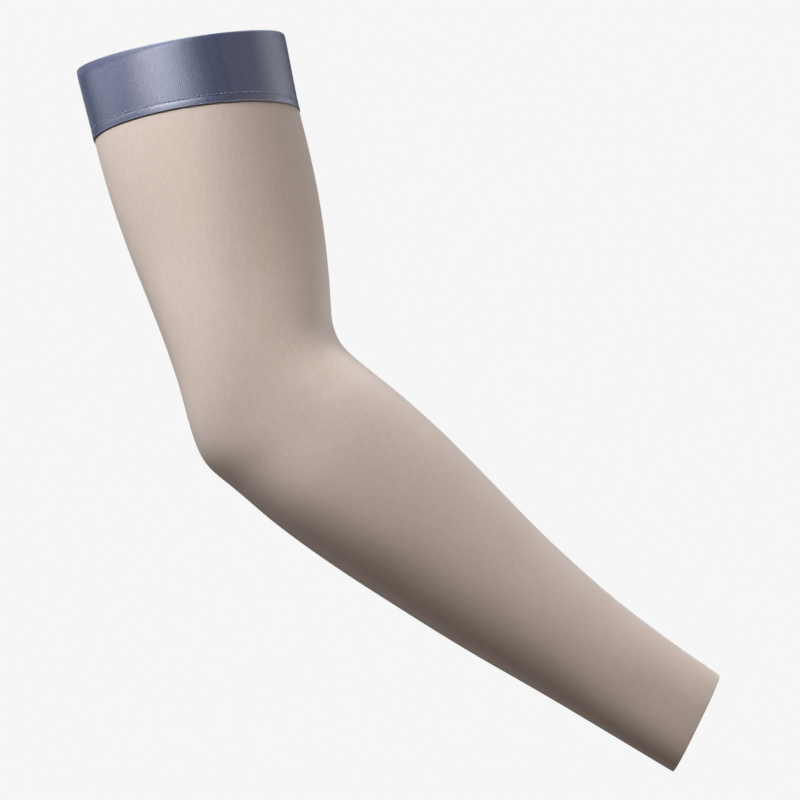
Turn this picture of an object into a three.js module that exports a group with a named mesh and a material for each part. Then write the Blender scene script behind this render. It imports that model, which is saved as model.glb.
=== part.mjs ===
// A thermal arm warmer in the shape that it has when worn: a knitted sleeve, bent at the elbow,
// and a wide elastic gripper band that laps over the top of the sleeve.
// Millimetres. The origin is the middle of the band's top opening, +Z leaves that opening towards
// the shoulder, +X points to the crook side of the elbow, and Y runs across the arm.

import * as THREE from "three";
import { LoftGeometry } from "three/addons/geometries/LoftGeometry.js";

// The arm's two straight axes, which meet in the middle of the elbow.
const UPPER_LENGTH = 177; // top opening to elbow
const UPPER_LEAN = 3.9; // degrees, from straight down towards +X
const ELBOW_BEND = 38.3; // degrees, from a straight arm

// Cloth walls, and the lapped seam between the two pieces.
const SLEEVE_WALL = 1.2;
const BAND_WALL = 1.8; // elastic folded double
const FOLD_ROUND = 1.7; // length over which the fold at the band's top rounds off
const BAND_PROUD = 0.3; // the band's face stands out from the sleeve's
const LAP = 6; // length of sleeve tucked under the band
const LAP_PLY = 1; // each of the two layers in the lap
const SEAM_GAP = 0.3;
const SEAM_GROOVE = 0.15; // the sleeve comes up to its full size over this length

// How finely the shapes are faceted.
const SIDES = 36;
const SLEEVE_RING_PITCH = 12; // along the sleeve, and half of that around the elbow
const ELBOW_REACH = 40;
const BAND_RINGS = 3;
const FOLD_RINGS = 4;

// Colours of the dyed cloths.
const TAUPE = 0xbcaca1;
const SLATE_BLUE = 0x6a6d8a;

// The arm's cross-sections, from the top opening to the wrist, in the surface of the sleeve.
// The columns, in their order:
//   limb   the axis that the section sits on
//   along  distance from the middle of the elbow, along that axis
//   skew   degrees that the section is turned from square to the axis
//   tip    how far the front of the section lies up (-) or down (+) the arm from its middle
//   inner  reach from the axis to the crook side
//   outer  reach from the axis to the elbow side
//   depth  size across the arm
//   taper  share by which the elbow side is narrower than an ellipse, or wider where it is below 0
//   full   2 is an ellipse, more is flatter in front and behind, and less is more ridged there
const SECTIONS = [
  ["upper", 177, -3.9, 0, 51.8, 52.7, 92, 0, 2],
  ["upper", 139.4, -5.1, -4.8, 49.6, 52.8, 91, 0, 2],
  ["upper", 118, -1.5, -1.6, 49.4, 52.4, 90.5, 0, 1.85],
  ["upper", 90, 0, 0, 48.2, 50.1, 89, 0, 1.8],
  ["upper", 62, 0.3, 0, 44.9, 46.6, 86.5, 0.01, 1.95],
  ["upper", 40, 4.2, 0, 41.7, 43.6, 85, 0.03, 2.2],
  ["upper", 22, 9.8, 0, 39.6, 42.7, 83.5, 0.07, 2.4],
  ["upper", 7, 15.4, 0, 42, 43.4, 82, 0.12, 2.55],
  ["fore", 7, -17.4, 0, 43.8, 46.8, 81.5, 0.16, 2.6],
  ["fore", 22, -11.6, 0, 42.3, 46.8, 82.5, 0.14, 2.6],
  ["fore", 45, -4.2, 0, 41.1, 47.5, 84, 0.07, 2.5],
  ["fore", 75, 0, 0, 39, 46.5, 81, 0.02, 2.3],
  ["fore", 110, 0, 0, 34.1, 43.9, 74, 0, 2.1],
  ["fore", 150, 0, 0, 28.3, 40.2, 65, -0.03, 2],
  ["fore", 195, 1.5, 0, 24.7, 34.3, 55, -0.04, 2.1],
  ["fore", 230, 4.5, -0.8, 24.7, 30.2, 49, -0.02, 2.45],
  ["fore", 263.8, 11.2, -2.2, 26.4, 26.6, 46, 0, 2.7],
].map(([limb, along, skew, tip, inner, outer, depth, taper, full]) => {
  return { limb, along, skew, tip, inner, outer, depth, taper, full };
});
const BAND_FOOT_SECTION = 1; // the row where the band ends

// The hem at the foot of the band, which puffs out between its two rows of stitches.
//   up    height above the band's foot
//   lift  height above the band's face
const HEM = [
  { up: 5.4, lift: 0 },
  { up: 4.4, lift: -0.15 },
  { up: 3.3, lift: 0.12 },
  { up: 1.8, lift: 0.15 },
  { up: 0.3, lift: 0.1 },
  { up: 0, lift: -0.1 },
];

const radians = THREE.MathUtils.degToRad;

// The heading of a limb down the arm, as an angle from straight down towards +X.
function headingOf(limb) {
  return radians(limb === "upper" ? UPPER_LEAN : UPPER_LEAN + ELBOW_BEND);
}

function directionDown(heading) {
  return new THREE.Vector3(Math.sin(heading), 0, -Math.cos(heading));
}

const elbow = directionDown(headingOf("upper")).multiplyScalar(UPPER_LENGTH);

// One row of the table as points in space: its two ends, its middle and its front.
function placeSection(row) {
  const heading = headingOf(row.limb);
  const down = directionDown(heading);
  const onAxis = elbow.clone().addScaledVector(down, row.limb === "upper" ? -row.along : row.along);
  const slope = heading + radians(row.skew);
  const across = new THREE.Vector3(Math.cos(slope), 0, Math.sin(slope));
  const inner = onAxis.clone().addScaledVector(across, row.inner);
  const outer = onAxis.clone().addScaledVector(across, -row.outer);
  const middle = inner.clone().lerp(outer, 0.5);
  const front = middle.clone().addScaledVector(down, row.tip);
  front.y = -row.depth / 2;
  return { inner, outer, middle, front, form: new THREE.Vector3(row.taper, row.full, 0) };
}

const placed = SECTIONS.map(placeSection);

// Smooth lines along the arm, through the same point of every section.
const lineThrough = (key) => new THREE.CatmullRomCurve3(placed.map((section) => section[key]));
const lines = {
  inner: lineThrough("inner"),
  outer: lineThrough("outer"),
  front: lineThrough("front"),
  form: lineThrough("form"),
};

// Distance down the arm's middle line to each row of the table.
const stations = [0];
for (let i = 1; i < placed.length; i++) {
  stations.push(stations[i - 1] + placed[i].middle.distanceTo(placed[i - 1].middle));
}
const ARM_LENGTH = stations[stations.length - 1];
const BAND_FOOT = stations[BAND_FOOT_SECTION];
const ELBOW_STATION = stations[SECTIONS.findIndex((row) => row.limb === "fore")];

// The lines' common parameter, 0 to 1, at a distance down the arm.
function parameterAt(distance) {
  const spans = stations.length - 1;
  const next = stations.findIndex((station) => station > distance);
  const i = next < 0 ? spans - 1 : next - 1;
  const share = (distance - stations[i]) / (stations[i + 1] - stations[i]);
  return Math.min((i + share) / spans, 1);
}

// A cosine or sine, changed so that the two together go round a fuller or a leaner form than a circle.
function fuller(share, full) {
  return Math.sign(share) * Math.abs(share) ** (2 / full);
}

// A ring of points around the arm, lifted off the surface of the sleeve by a small height.
function ring(distance, lift) {
  const t = parameterAt(distance);
  const inner = lines.inner.getPoint(t);
  const outer = lines.outer.getPoint(t);
  const { x: taper, y: full } = lines.form.getPoint(t);
  const middle = inner.clone().lerp(outer, 0.5);
  const toInner = inner.sub(middle);
  const toFront = lines.front.getPoint(t).sub(middle);
  toInner.setLength(toInner.length() + lift);
  toFront.setLength(toFront.length() + lift);
  return Array.from({ length: SIDES }, (_, side) => {
    const angle = (side / SIDES) * 2 * Math.PI;
    const across = fuller(Math.cos(angle), full);
    const forward = fuller(Math.sin(angle), full) * (1 + taper * across);
    return middle.clone().addScaledVector(toInner, across).addScaledVector(toFront, forward);
  });
}

// A wall that goes all the way round the arm: its profile is a closed loop of steps,
// each a distance down the arm and a lift, down the outside and back up the inside.
function wallAround(profile) {
  const loop = [...profile, profile[0]];
  return new LoftGeometry(loop.map(({ down, lift }) => ring(down, lift)));
}

// Even steps from one distance to another, without the two ends.
function stepsBetween(start, end, count) {
  return Array.from({ length: count - 1 }, (_, i) => start + ((end - start) * (i + 1)) / count);
}

// The steps down the sleeve, closer together around the elbow.
function sleeveSteps(start) {
  const steps = [];
  let distance = start;
  while (distance < ARM_LENGTH - SLEEVE_RING_PITCH / 2) {
    steps.push(distance);
    const nearElbow = Math.abs(distance - ELBOW_STATION) < ELBOW_REACH;
    distance += nearElbow ? SLEEVE_RING_PITCH / 2 : SLEEVE_RING_PITCH;
  }
  return [...steps, ARM_LENGTH];
}

// The sleeve, whose top is set in by the thickness of the band that covers it.
function sleeve() {
  const tuckTop = BAND_FOOT - LAP;
  const tuckFace = BAND_PROUD - LAP_PLY - SEAM_GAP;
  const seam = BAND_FOOT + SEAM_GAP;
  const clear = sleeveSteps(seam + SEAM_GROOVE);
  const outside = [
    { down: tuckTop, lift: tuckFace },
    { down: seam, lift: tuckFace },
    ...clear.map((down) => ({ down, lift: 0 })),
  ];
  const inside = [
    { down: tuckTop, lift: tuckFace - LAP_PLY },
    { down: clear[0] + LAP_PLY, lift: tuckFace - LAP_PLY },
    ...clear.slice(1).map((down) => ({ down, lift: -SLEEVE_WALL })),
  ];
  return wallAround([...outside, ...inside.reverse()]);
}

// The round fold at the top of the band, from its back to its face.
function topFold() {
  return Array.from({ length: FOLD_RINGS + 1 }, (_, i) => {
    const turn = (i / FOLD_RINGS - 0.5) * Math.PI;
    return {
      down: FOLD_ROUND * (1 - Math.cos(turn)),
      lift: BAND_PROUD - (BAND_WALL / 2) * (1 - Math.sin(turn)),
    };
  });
}

// The gripper band, folded at the top and thinned at its foot where it laps over the sleeve.
function gripperBand() {
  const back = BAND_PROUD - BAND_WALL;
  const lapFace = BAND_PROUD - LAP_PLY;
  const lapTop = BAND_FOOT - LAP - SEAM_GAP;
  const fold = topFold();
  const hem = HEM.map(({ up, lift }) => ({ down: BAND_FOOT - up, lift: BAND_PROUD + lift }));
  const face = stepsBetween(FOLD_ROUND, hem[0].down, BAND_RINGS);
  const inside = stepsBetween(lapTop, FOLD_ROUND, BAND_RINGS);
  return wallAround([
    ...fold,
    ...face.map((down) => ({ down, lift: BAND_PROUD })),
    ...hem,
    { down: BAND_FOOT, lift: lapFace },
    { down: lapTop, lift: lapFace },
    { down: lapTop, lift: back },
    ...inside.map((down) => ({ down, lift: back })),
  ]);
}

const cloth = (color, roughness) => new THREE.MeshStandardMaterial({ color, roughness, metalness: 0 });

const pieces = {
  sleeve: [sleeve(), cloth(TAUPE, 0.9)],
  gripper_band: [gripperBand(), cloth(SLATE_BLUE, 0.5)],
};

const armWarmer = new THREE.Group();
for (const [name, [geometry, material]] of Object.entries(pieces)) {
  const mesh = new THREE.Mesh(geometry, material);
  mesh.name = name;
  armWarmer.add(mesh);
}

export default armWarmer;
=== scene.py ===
# Arm warmer: a brushed thermal sleeve in its worn, bent form, with a satin gripper band sewn over its top.
import math
import bpy
import numpy as np
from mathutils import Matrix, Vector


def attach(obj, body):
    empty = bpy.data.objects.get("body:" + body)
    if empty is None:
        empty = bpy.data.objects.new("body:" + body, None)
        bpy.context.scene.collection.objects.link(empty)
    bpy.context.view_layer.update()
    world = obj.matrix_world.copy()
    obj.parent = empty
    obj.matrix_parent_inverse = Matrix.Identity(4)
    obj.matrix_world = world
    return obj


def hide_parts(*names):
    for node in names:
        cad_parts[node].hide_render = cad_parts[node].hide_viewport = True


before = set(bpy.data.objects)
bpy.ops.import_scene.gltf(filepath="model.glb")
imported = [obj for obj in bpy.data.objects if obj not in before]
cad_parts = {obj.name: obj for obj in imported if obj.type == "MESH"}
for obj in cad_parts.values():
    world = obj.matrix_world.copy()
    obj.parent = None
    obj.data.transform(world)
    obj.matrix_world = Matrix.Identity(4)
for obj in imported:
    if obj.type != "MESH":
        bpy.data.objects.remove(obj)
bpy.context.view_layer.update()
print("frame loaded:", ", ".join(sorted(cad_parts)))

# metres and degrees all through; the arm's own line, as the solids have it
armLine = {
    "upperLength": 0.177,  # top opening to the middle of the elbow
    "upperLean": 3.9,      # from straight down, towards the crook side
    "elbowBend": 38.3,     # from a straight arm
    "bendRadius": 0.12,    # of the line round the elbow
}


# selecting

def makeActive(piece):
    if bpy.context.mode != "OBJECT":
        bpy.ops.object.mode_set(mode="OBJECT")
    bpy.ops.object.select_all(action="DESELECT")
    piece.select_set(True)
    bpy.context.view_layer.objects.active = piece


def editMesh(piece, what="VERT"):
    makeActive(piece)
    bpy.ops.object.mode_set(mode="EDIT")
    bpy.ops.mesh.select_mode(type=what)
    bpy.ops.mesh.select_all(action="DESELECT")


def leaveEdit():
    bpy.ops.object.mode_set(mode="OBJECT")


# shaping

def copyOfNode(nodeName, pieceName):
    piece = bpy.data.objects.new(pieceName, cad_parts[nodeName].data.copy())
    piece.data.name = pieceName
    piece.data.materials.clear()
    bpy.context.scene.collection.objects.link(piece)
    editMesh(piece)
    bpy.ops.mesh.select_all(action="SELECT")
    bpy.ops.mesh.remove_doubles(threshold=1e-6)  # the solids come as loose triangles
    bpy.ops.mesh.tris_convert_to_quads(face_threshold=math.pi, shape_threshold=math.pi)
    leaveEdit()
    bpy.ops.mesh.customdata_custom_splitnormals_clear()
    return piece


def easeSharpEdges(piece, width, sharper):
    editMesh(piece, "EDGE")
    bpy.ops.mesh.edges_select_sharp(sharpness=math.radians(sharper))
    bpy.ops.mesh.bevel(offset=width, segments=2, affect="EDGES")
    leaveEdit()


def smoothOut(piece, levels):
    makeActive(piece)
    smoother = piece.modifiers.new("smoother", "SUBSURF")
    smoother.levels = levels
    smoother.render_levels = levels
    bpy.ops.object.modifier_apply(modifier=smoother.name)
    bpy.ops.object.shade_smooth()


def placesOf(piece):
    flat = np.empty(len(piece.data.vertices) * 3)
    piece.data.vertices.foreach_get("co", flat)
    return flat.reshape(-1, 3)


def straighten(places):
    # the same places on a straight arm: towards the crook, towards the back, down the arm
    lean = math.radians(armLine["upperLean"])
    bend = math.radians(armLine["elbowBend"])
    radius = armLine["bendRadius"]
    arcStart = armLine["upperLength"] - radius * math.tan(bend / 2)
    down = np.array((math.sin(lean), -math.cos(lean)))
    side = np.array((math.cos(lean), math.sin(lean)))
    flat = places[:, (0, 2)] - down * arcStart
    along = flat @ down
    across = flat @ side
    turn = np.clip(np.arctan2(along, radius - across), 0, bend)
    fromLineAlong = along - radius * np.sin(turn)
    fromLineAcross = across - radius * (1 - np.cos(turn))
    downArm = arcStart + radius * turn + fromLineAlong * np.cos(turn) + fromLineAcross * np.sin(turn)
    toCrook = fromLineAcross * np.cos(turn) - fromLineAlong * np.sin(turn)
    return np.stack((toCrook, places[:, 1], downArm), axis=1)


def keepStraightPlaces(piece):
    # cloth patterns follow the arm, so they read these places and not the bent ones
    straight = piece.data.attributes.new("straight", "FLOAT_VECTOR", "POINT")
    straight.data.foreach_set("vector", straighten(placesOf(piece)).astype(np.float32).ravel())


# shader nodes

def addNode(tree, kind, values=None, **settings):
    node = tree.nodes.new("ShaderNode" + kind)
    for name, value in settings.items():
        setattr(node, name, value)
    for socket, value in (values or {}).items():
        node.inputs[socket].default_value = value
    return node


def newGroup(name, inputs, outputs):
    group = bpy.data.node_groups.new(name, "ShaderNodeTree")
    for socket, value in inputs.items():
        kind = "NodeSocketVector" if value is None else "NodeSocketFloat"
        made = group.interface.new_socket(socket, in_out="INPUT", socket_type=kind)
        if value is not None:
            made.default_value = value
    for socket in outputs:
        group.interface.new_socket(socket, in_out="OUTPUT", socket_type="NodeSocketFloat")
    return group, group.nodes.new("NodeGroupInput").outputs, group.nodes.new("NodeGroupOutput").inputs


def mathNode(tree, operation, first, second=None):
    node = addNode(tree, "Math", operation=operation)
    for socket, value in zip(node.inputs, (first, second)):
        if isinstance(value, bpy.types.NodeSocket):
            tree.links.new(value, socket)
        elif value is not None:
            socket.default_value = value
    return node.outputs[0]


def fibreGroup():
    # uneven fibres that lie down the arm; Stretch above 1 makes them shorter than wide
    inputs = {"Vector": None, "Scale": 800.0, "Stretch": 0.3}
    group, given, made = newGroup("lyingFibres", inputs, ["Shade"])
    squeeze = addNode(group, "CombineXYZ", {"X": 1.0, "Y": 1.0})
    stretched = addNode(group, "VectorMath", operation="MULTIPLY")
    noise = addNode(group, "TexNoise", {"Detail": 3.0, "Roughness": 0.6})
    group.links.new(given["Stretch"], squeeze.inputs["Z"])
    group.links.new(given["Vector"], stretched.inputs[0])
    group.links.new(squeeze.outputs[0], stretched.inputs[1])
    group.links.new(stretched.outputs[0], noise.inputs["Vector"])
    group.links.new(given["Scale"], noise.inputs["Scale"])
    group.links.new(noise.outputs[0], made["Shade"])
    return group


def knitGroup():
    # columns of loops round the arm, each loop a small V
    legSlant = 2.5     # how steeply the legs of the V run
    courseDepth = 0.3  # share of the height that dips between courses
    inputs = {"Vector": None, "Columns": 300.0, "Pitch": 0.0008}
    group, given, made = newGroup("knitLoops", inputs, ["Height"])
    parts = addNode(group, "SeparateXYZ")
    group.links.new(given["Vector"], parts.inputs[0])
    angle = mathNode(group, "ARCTAN2", parts.outputs["Y"], parts.outputs["X"])
    column = mathNode(group, "MULTIPLY", angle, given["Columns"])
    halfColumn = mathNode(group, "MULTIPLY", column, 0.5)
    crown = mathNode(group, "ABSOLUTE", mathNode(group, "SINE", halfColumn))
    courses = mathNode(group, "DIVIDE", parts.outputs["Z"], given["Pitch"])
    turn = mathNode(group, "MULTIPLY", courses, 2 * math.pi)
    slant = mathNode(group, "MULTIPLY", crown, legSlant)
    loop = mathNode(group, "SINE", mathNode(group, "ADD", turn, slant))
    rise = mathNode(group, "MULTIPLY_ADD", loop, courseDepth)
    rise.node.inputs[2].default_value = 1 - courseDepth
    group.links.new(mathNode(group, "MULTIPLY", crown, rise), made["Height"])
    return group


fibres = fibreGroup()
knit = knitGroup()


def newCloth(name, finish):
    material = bpy.data.materials.new(name)
    material.use_nodes = True
    tree = material.node_tree
    shader = tree.nodes["Principled BSDF"]
    for socket, value in finish.items():
        shader.inputs[socket].default_value = value
    places = addNode(tree, "Attribute", attribute_name="straight").outputs["Vector"]
    return material, tree, shader, places


def useGroup(tree, group, vector, **values):
    node = addNode(tree, "Group", node_tree=group)
    tree.links.new(vector, node.inputs["Vector"])
    for socket, value in values.items():
        node.inputs[socket].default_value = value
    return node.outputs[0]


def spread(tree, value, low, high, fromLow=0.3, fromHigh=0.7):
    # the middle of a noise's range, opened out to a chosen one
    ends = {"From Min": fromLow, "From Max": fromHigh, "To Min": low, "To Max": high}
    ranged = addNode(tree, "MapRange", ends)
    tree.links.new(value, ranged.inputs["Value"])
    return ranged.outputs[0]


def blendColours(tree, share, first, second, blend="MIX"):
    mix = addNode(tree, "Mix", data_type="RGBA", blend_type=blend)
    for socket, value in zip((mix.inputs[0], mix.inputs[6], mix.inputs[7]), (share, first, second)):
        if isinstance(value, bpy.types.NodeSocket):
            tree.links.new(value, socket)
        else:
            socket.default_value = value
    return mix.outputs[2]


def bumpFrom(tree, shader, height, strength, distance):
    bump = addNode(tree, "Bump", {"Strength": strength, "Distance": distance})
    tree.links.new(height, bump.inputs["Height"])
    tree.links.new(bump.outputs[0], shader.inputs["Normal"])


# sleeve

sleeve = {
    "easedEdge": 0.00025,
    "sharpEdge": 50,            # degrees, above which an edge is eased
    "smoothing": 2,
    "taupe": (0.51, 0.412, 0.356, 1),
    "paleTaupe": (0.53, 0.437, 0.386, 1),
    "napShade": (0.95, 1.04),
    "fuzzShade": (0.95, 1.05),
    "roughness": (0.48, 0.6),
    "loopRelief": 0.4,          # of the knit under its fuzz
    "bump": (0.25, 0.0002),     # strength and height
    "finish": {
        "Specular IOR Level": 0.5,
        "Sheen Weight": 0.06,
        "Sheen Roughness": 0.45,
        "Sheen Tint": (0.95, 0.95, 1.0, 1),
    },
    "flat": (0.31, 0.42),       # the knit before it was sewn into a tube
    "cutArea": 0.098,           # less than that, because the cut narrows to the wrist
}


def brushedKnit():
    material, tree, shader, places = newCloth("brushedKnit", sleeve["finish"])
    patches = useGroup(tree, fibres, places, Scale=24.0, Stretch=0.7)
    nap = useGroup(tree, fibres, places, Scale=700.0, Stretch=0.3)
    fuzz = useGroup(tree, fibres, places, Scale=2400.0, Stretch=0.8)
    loops = useGroup(tree, knit, places, Columns=320.0, Pitch=0.0009)
    dyed = blendColours(tree, spread(tree, patches, 0, 1), sleeve["taupe"], sleeve["paleTaupe"])
    napShade = spread(tree, nap, *sleeve["napShade"])
    fuzzShade = spread(tree, fuzz, *sleeve["fuzzShade"])
    shade = mathNode(tree, "MULTIPLY", napShade, fuzzShade)
    tone = blendColours(tree, 1.0, dyed, shade, "MULTIPLY")
    tree.links.new(tone, shader.inputs["Base Color"])
    tree.links.new(spread(tree, nap, *sleeve["roughness"]), shader.inputs["Roughness"])
    height = mathNode(tree, "ADD", mathNode(tree, "MULTIPLY", loops, sleeve["loopRelief"]), fuzz)
    bumpFrom(tree, shader, height, *sleeve["bump"])
    return material


def makeSleeve():
    piece = copyOfNode("sleeve", "knit_sleeve")
    easeSharpEdges(piece, sleeve["easedEdge"], sleeve["sharpEdge"])
    smoothOut(piece, sleeve["smoothing"])
    keepStraightPlaces(piece)
    piece.data.materials.append(brushedKnit())
    return piece


knitSleeve = makeSleeve()
print("sleeve:", len(knitSleeve.data.polygons), "faces")


# gripper band

band = {
    "easedEdge": 0.0002,
    "sharpEdge": 50,            # degrees, above which an edge is eased
    "smoothing": 3,
    "slate": (0.028, 0.036, 0.08, 1),
    "paleSlate": (0.048, 0.06, 0.12, 1),
    "streakShare": (0.5, 1.2),  # of the pale yarns
    "patchShare": (0.5, 1.0),
    "glintShade": (0.55, 1.6),
    "dull": 0.52,               # roughness of the yarns
    "glossy": 0.36,
    "folded": 0.85,             # bent yarns at the top are duller
    "fold": (0.0005, 0.0022),   # down from the top, over which they turn glossy
    "ribRelief": 0.5,
    "bump": (0.5, 0.00015),     # strength and height
    "finish": {
        "IOR": 1.85,
        "Specular IOR Level": 1.0,
        "Specular Tint": (0.88, 0.88, 1.0, 1),
        "Anisotropic": 0.9,
        "Anisotropic Rotation": 0.25,  # yarns run up the band
        "Sheen Weight": 0.15,
        "Sheen Roughness": 0.35,
        "Sheen Tint": (0.9, 0.92, 1.0, 1),
    },
    "flat": (0.31, 0.039),      # of the folded elastic
}


def satinElastic():
    material, tree, shader, places = newCloth("satinElastic", band["finish"])
    streaks = useGroup(tree, fibres, places, Scale=420.0, Stretch=0.02)
    patches = useGroup(tree, fibres, places, Scale=60.0, Stretch=0.3)
    glints = useGroup(tree, fibres, places, Scale=1700.0, Stretch=0.6)
    ribs = useGroup(tree, knit, places, Columns=300.0, Pitch=0.0008)
    streakShare = spread(tree, streaks, *band["streakShare"])
    patchShare = spread(tree, patches, *band["patchShare"])
    share = mathNode(tree, "MULTIPLY", streakShare, patchShare)
    dyed = blendColours(tree, share, band["slate"], band["paleSlate"])
    tone = blendColours(tree, 1.0, dyed, spread(tree, glints, *band["glintShade"]), "MULTIPLY")
    tree.links.new(tone, shader.inputs["Base Color"])
    downArm = addNode(tree, "SeparateXYZ")
    tree.links.new(places, downArm.inputs[0])
    foldWear = spread(tree, downArm.outputs["Z"], band["folded"], band["glossy"], *band["fold"])
    yarnWear = spread(tree, glints, band["dull"], band["glossy"])
    roughness = mathNode(tree, "MAXIMUM", yarnWear, foldWear)
    tree.links.new(roughness, shader.inputs["Roughness"])
    height = mathNode(tree, "ADD", mathNode(tree, "MULTIPLY", ribs, band["ribRelief"]), glints)
    bumpFrom(tree, shader, height, *band["bump"])
    return material


def makeBand():
    piece = copyOfNode("gripper_band", "satin_band")
    easeSharpEdges(piece, band["easedEdge"], band["sharpEdge"])
    smoothOut(piece, band["smoothing"])
    keepStraightPlaces(piece)
    piece.data.materials.append(satinElastic())
    return piece


satinBand = makeBand()
print("gripper band:", len(satinBand.data.polygons), "faces")


# hem stitches

stitching = {
    "rows": (0.0044, 0.0004),   # above the band's foot
    "pitch": 0.0023,
    "length": 0.0015,
    "thick": 0.00042,
    "sides": 8,
    "roundedEnd": 0.4,          # share of the thickness
    "sharpEdge": 60,            # degrees, above which an edge is rounded
    "unevenness": 0.0001,
    "seed": 5,
    "thread": (0.15, 0.165, 0.24, 1),
    "paleThread": (0.26, 0.28, 0.35, 1),
    "roughness": (0.45, 0.65),
    "bump": (0.3, 0.0001),      # strength and height
    "finish": {"Sheen Weight": 0.2},
}


def loopRound(piece, height, pathName):
    # copies the edge loop of the piece's face at a height above its foot, found on the crook side
    offPlane = 1e-5
    outward = 0.5
    places = placesOf(piece)
    normals = np.array([vertex.normal.x for vertex in piece.data.vertices])
    onCrookSide = (np.abs(places[:, 1]) < offPlane) & (places[:, 0] > 0)
    aboveFoot = places[:, 2] - places[onCrookSide, 2].min()
    offHeight = np.where(onCrookSide & (normals > outward), np.abs(aboveFoot - height), 1)
    start = int(offHeight.argmin())
    touching = [tuple(edge.vertices) for edge in piece.data.edges if start in edge.vertices]
    editMesh(piece)  # clears the selection
    leaveEdit()
    for end in max(touching, key=lambda ends: np.abs(places[list(ends), 1]).max()):
        piece.data.vertices[end].select = True
    bpy.ops.object.mode_set(mode="EDIT")
    bpy.ops.mesh.select_mode(type="EDGE")
    bpy.ops.mesh.loop_multi_select(ring=False)
    bpy.ops.mesh.duplicate()
    bpy.ops.mesh.separate(type="SELECTED")
    leaveEdit()
    path = next(other for other in bpy.context.selected_objects if other is not piece)
    path.name = pathName
    return path


def lengthOf(path):
    places = placesOf(path)
    ends = np.array([tuple(edge.vertices) for edge in path.data.edges])
    return float(np.linalg.norm(places[ends[:, 0]] - places[ends[:, 1]], axis=1).sum())


def oneStitch(name):
    # a short thread with rounded ends, lying along X
    bpy.ops.object.select_all(action="DESELECT")
    bpy.ops.mesh.primitive_cylinder_add(
        vertices=stitching["sides"],
        radius=stitching["thick"] / 2,
        depth=stitching["length"],
        rotation=(0, math.pi / 2, 0),
        location=(stitching["length"] / 2, 0, 0),
    )
    stitch = bpy.context.active_object
    stitch.name = name
    bpy.ops.object.transform_apply(location=True, rotation=True)
    easeSharpEdges(stitch, stitching["thick"] * stitching["roundedEnd"], stitching["sharpEdge"])
    bpy.ops.object.shade_smooth()
    return stitch


def rowOfStitches(name, path):
    girth = lengthOf(path)
    count = int(girth / stitching["pitch"])
    row = oneStitch(name)
    verticesEach = len(row.data.vertices)
    makeActive(path)
    bpy.ops.object.convert(target="CURVE")
    makeActive(row)
    repeat = row.modifiers.new("repeat", "ARRAY")
    repeat.count = count
    repeat.use_relative_offset = False
    repeat.use_constant_offset = True
    repeat.constant_offset_displace = (girth / count, 0, 0)
    bpy.ops.object.modifier_apply(modifier=repeat.name)
    follow = row.modifiers.new("follow", "CURVE")
    follow.object = path
    bpy.ops.object.modifier_apply(modifier=follow.name)
    chance = np.random.default_rng(stitching["seed"])
    shifts = chance.uniform(-1, 1, (count, 1, 3)) * stitching["unevenness"]
    places = placesOf(row).reshape(count, verticesEach, 3) + shifts
    row.data.vertices.foreach_set("co", places.ravel())
    bpy.data.objects.remove(path)
    return row


def sewingThread():
    material, tree, shader, places = newCloth("sewingThread", stitching["finish"])
    wear = useGroup(tree, fibres, places, Scale=420.0, Stretch=1.0)
    plies = useGroup(tree, fibres, places, Scale=2600.0, Stretch=1.0)
    dyed = blendColours(tree, spread(tree, wear, 0, 1), stitching["thread"], stitching["paleThread"])
    tree.links.new(dyed, shader.inputs["Base Color"])
    tree.links.new(spread(tree, plies, *stitching["roughness"]), shader.inputs["Roughness"])
    bumpFrom(tree, shader, plies, *stitching["bump"])
    return material


def makeStitches():
    rows = []
    for number, height in enumerate(stitching["rows"], 1):
        path = loopRound(satinBand, height, f"stitch_path_{number}")
        rows.append(rowOfStitches(f"stitch_row_{number}", path))
    makeActive(rows[0])
    for row in rows:
        row.select_set(True)
    bpy.ops.object.join()
    piece = rows[0]
    piece.name = "hem_stitches"
    piece.data.name = "hem_stitches"
    keepStraightPlaces(piece)
    piece.data.materials.append(sewingThread())
    return piece


hemStitches = makeStitches()
print("hem stitches:", len(hemStitches.data.polygons), "faces")


# camera

view = {
    "middle": (0.0747, 0, -0.1884),
    "distance": 1.25,
    "roll": 10.55,
    "widthSeen": 0.3952,   # at the arm
    "sensor": 36,          # millimetres
}


def makeCamera():
    data = bpy.data.cameras.new("photoView")
    data.sensor_width = view["sensor"]
    data.lens = view["sensor"] * view["distance"] / view["widthSeen"]
    camera = bpy.data.objects.new("photoView", data)
    camera.location = Vector(view["middle"]) + Vector((0, -view["distance"], 0))
    camera.rotation_euler = (math.pi / 2, math.radians(view["roll"]), 0)
    bpy.context.scene.collection.objects.link(camera)
    bpy.context.scene.camera = camera
    return camera


camera = makeCamera()


# studio

studio = {
    "radius": 4.0,
    "sides": 96,
    "floorDrop": 2.4,       # below the middle of the view
    "wallHeight": 6.0,
    "cove": 1.2,
    "coveSteps": 12,
    "coveEdge": 60,         # degrees, the edge that it rounds is sharper
    "paper": 0.92,          # as the camera sees it
    "glowBelow": 0.01,      # what the cloth gets back from it
    "glowAround": 0.01,
    "glowTint": (1, 0.7, 0.56, 1),
}

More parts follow.
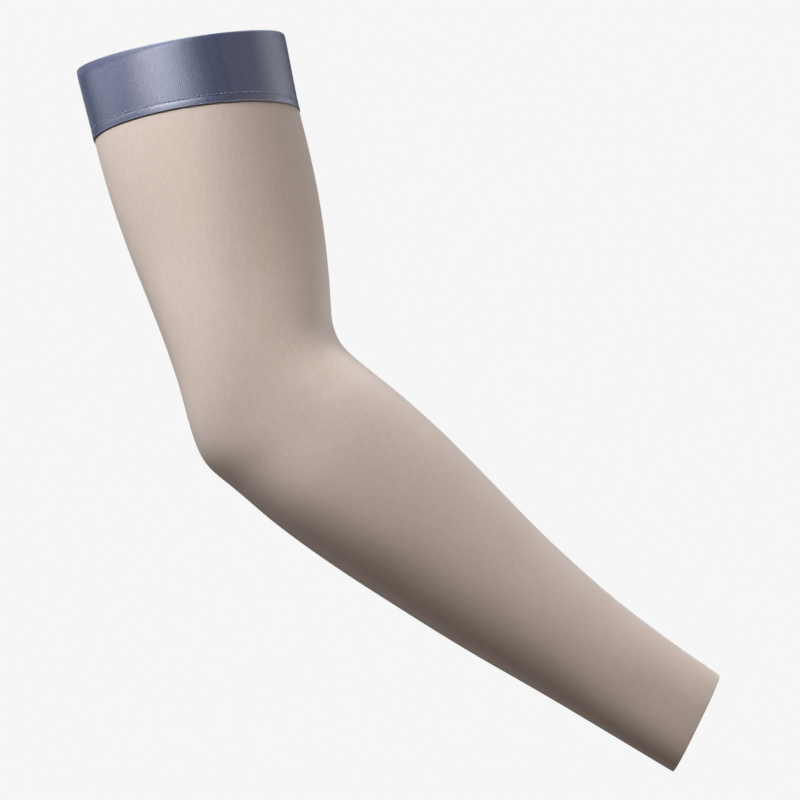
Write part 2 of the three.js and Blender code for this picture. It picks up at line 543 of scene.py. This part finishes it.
# lamps, as seen from the camera: degrees to its right and up, metres away from the arm
cool = (0.94, 0.975, 1.0)
cold = (0.86, 0.94, 1.0)
soft = (1.0, 0.93, 0.9)
warm = (1.0, 0.88, 0.78)
lampColumns = ("name", "right", "up", "away", "wide", "tall", "watts", "tint")
lampRows = (
    ("key", -45, 55, 1.3, 0.6, 0.6, 29.5, cool),
    ("sideKey", -78, 32, 1.3, 0.7, 0.7, 6, cool),
    ("softbox", -40, 10, 1.3, 0.6, 0.7, 3.8, soft),
    ("leftGlow", -98, 10, 1.3, 0.8, 0.9, 3.2, cool),
    ("lowGlow", 75, -25, 2.0, 2.4, 2.4, 18.5, warm),
    ("rightGlow", 124, -4, 1.0, 1.0, 0.6, 5.5, cool),
    ("backTop", 155, 60, 1.3, 0.8, 0.8, 7.5, cold),
    ("lowRim", -160, -45, 1.3, 0.6, 0.6, 1, warm),
)
lamps = [dict(zip(lampColumns, row)) for row in lampRows]


def glowFor(tree, strength):
    # even white paper to the camera, a dim warm one to the cloth
    sight = addNode(tree, "LightPath")
    seen = [studio["paper"]] * 3 + [1]
    given = [strength * share for share in studio["glowTint"]]
    return blendColours(tree, sight.outputs["Is Camera Ray"], given, seen)


def glowPaper(name, strength):
    material = bpy.data.materials.new(name)
    material.use_nodes = True
    tree = material.node_tree
    tree.nodes.clear()
    glow = addNode(tree, "Emission")
    out = addNode(tree, "OutputMaterial")
    tree.links.new(glowFor(tree, strength), glow.inputs["Color"])
    tree.links.new(glow.outputs[0], out.inputs["Surface"])
    return material


def makeStudio():
    middle = Vector(view["middle"])
    floor = middle - Vector((0, 0, studio["floorDrop"]))
    bpy.ops.object.select_all(action="DESELECT")
    bpy.ops.mesh.primitive_circle_add(
        vertices=studio["sides"],
        radius=studio["radius"],
        fill_type="NGON",
        location=floor,
    )
    bowl = bpy.context.active_object
    bowl.name = "paper_bowl"
    bpy.ops.object.transform_apply(location=True)
    editMesh(bowl, "EDGE")
    bpy.ops.mesh.select_all(action="SELECT")
    bpy.ops.mesh.region_to_loop()
    bpy.ops.mesh.extrude_region_move(TRANSFORM_OT_translate={"value": (0, 0, studio["wallHeight"])})
    leaveEdit()
    cove = bowl.modifiers.new("cove", "BEVEL")
    cove.width = studio["cove"]
    cove.segments = studio["coveSteps"]
    cove.limit_method = "ANGLE"
    cove.angle_limit = math.radians(studio["coveEdge"])
    bpy.ops.object.modifier_apply(modifier=cove.name)
    bpy.ops.object.shade_smooth()
    bowl.data.materials.append(glowPaper("studioPaper", studio["glowBelow"]))
    sky = bpy.data.worlds.new("studioAir")
    sky.use_nodes = True
    tree = sky.node_tree
    tree.links.new(glowFor(tree, studio["glowAround"]), tree.nodes["Background"].inputs["Color"])
    bpy.context.scene.world = sky


def makeLamps():
    middle = Vector(view["middle"])
    right, up, back = (Vector(axis) for axis in camera.rotation_euler.to_matrix().transposed())
    for row in lamps:
        across = math.radians(row["right"])
        rise = math.radians(row["up"])
        heading = math.cos(rise) * (math.sin(across) * right + math.cos(across) * back) + math.sin(rise) * up
        data = bpy.data.lights.new(row["name"], "AREA")
        data.shape = "RECTANGLE"
        data.size = row["wide"]
        data.size_y = row["tall"]
        data.energy = row["watts"]
        data.color = row["tint"]
        lamp = bpy.data.objects.new(row["name"], data)
        lamp.location = middle + heading * row["away"]
        lamp.rotation_euler = heading.to_track_quat("Z", "Y").to_euler()
        bpy.context.scene.collection.objects.link(lamp)


makeStudio()
makeLamps()
bpy.context.scene.view_settings.view_transform = "Standard"
print("studio:", len(lamps), "lamps")


# joining the pieces to the frame

for piece, node, slot in (
    (knitSleeve, "sleeve", "brushed_knit"),
    (satinBand, "gripper_band", "satin_elastic"),
    (hemStitches, None, "satin_elastic"),
):
    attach(piece, "root")
    if node:
        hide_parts(node)
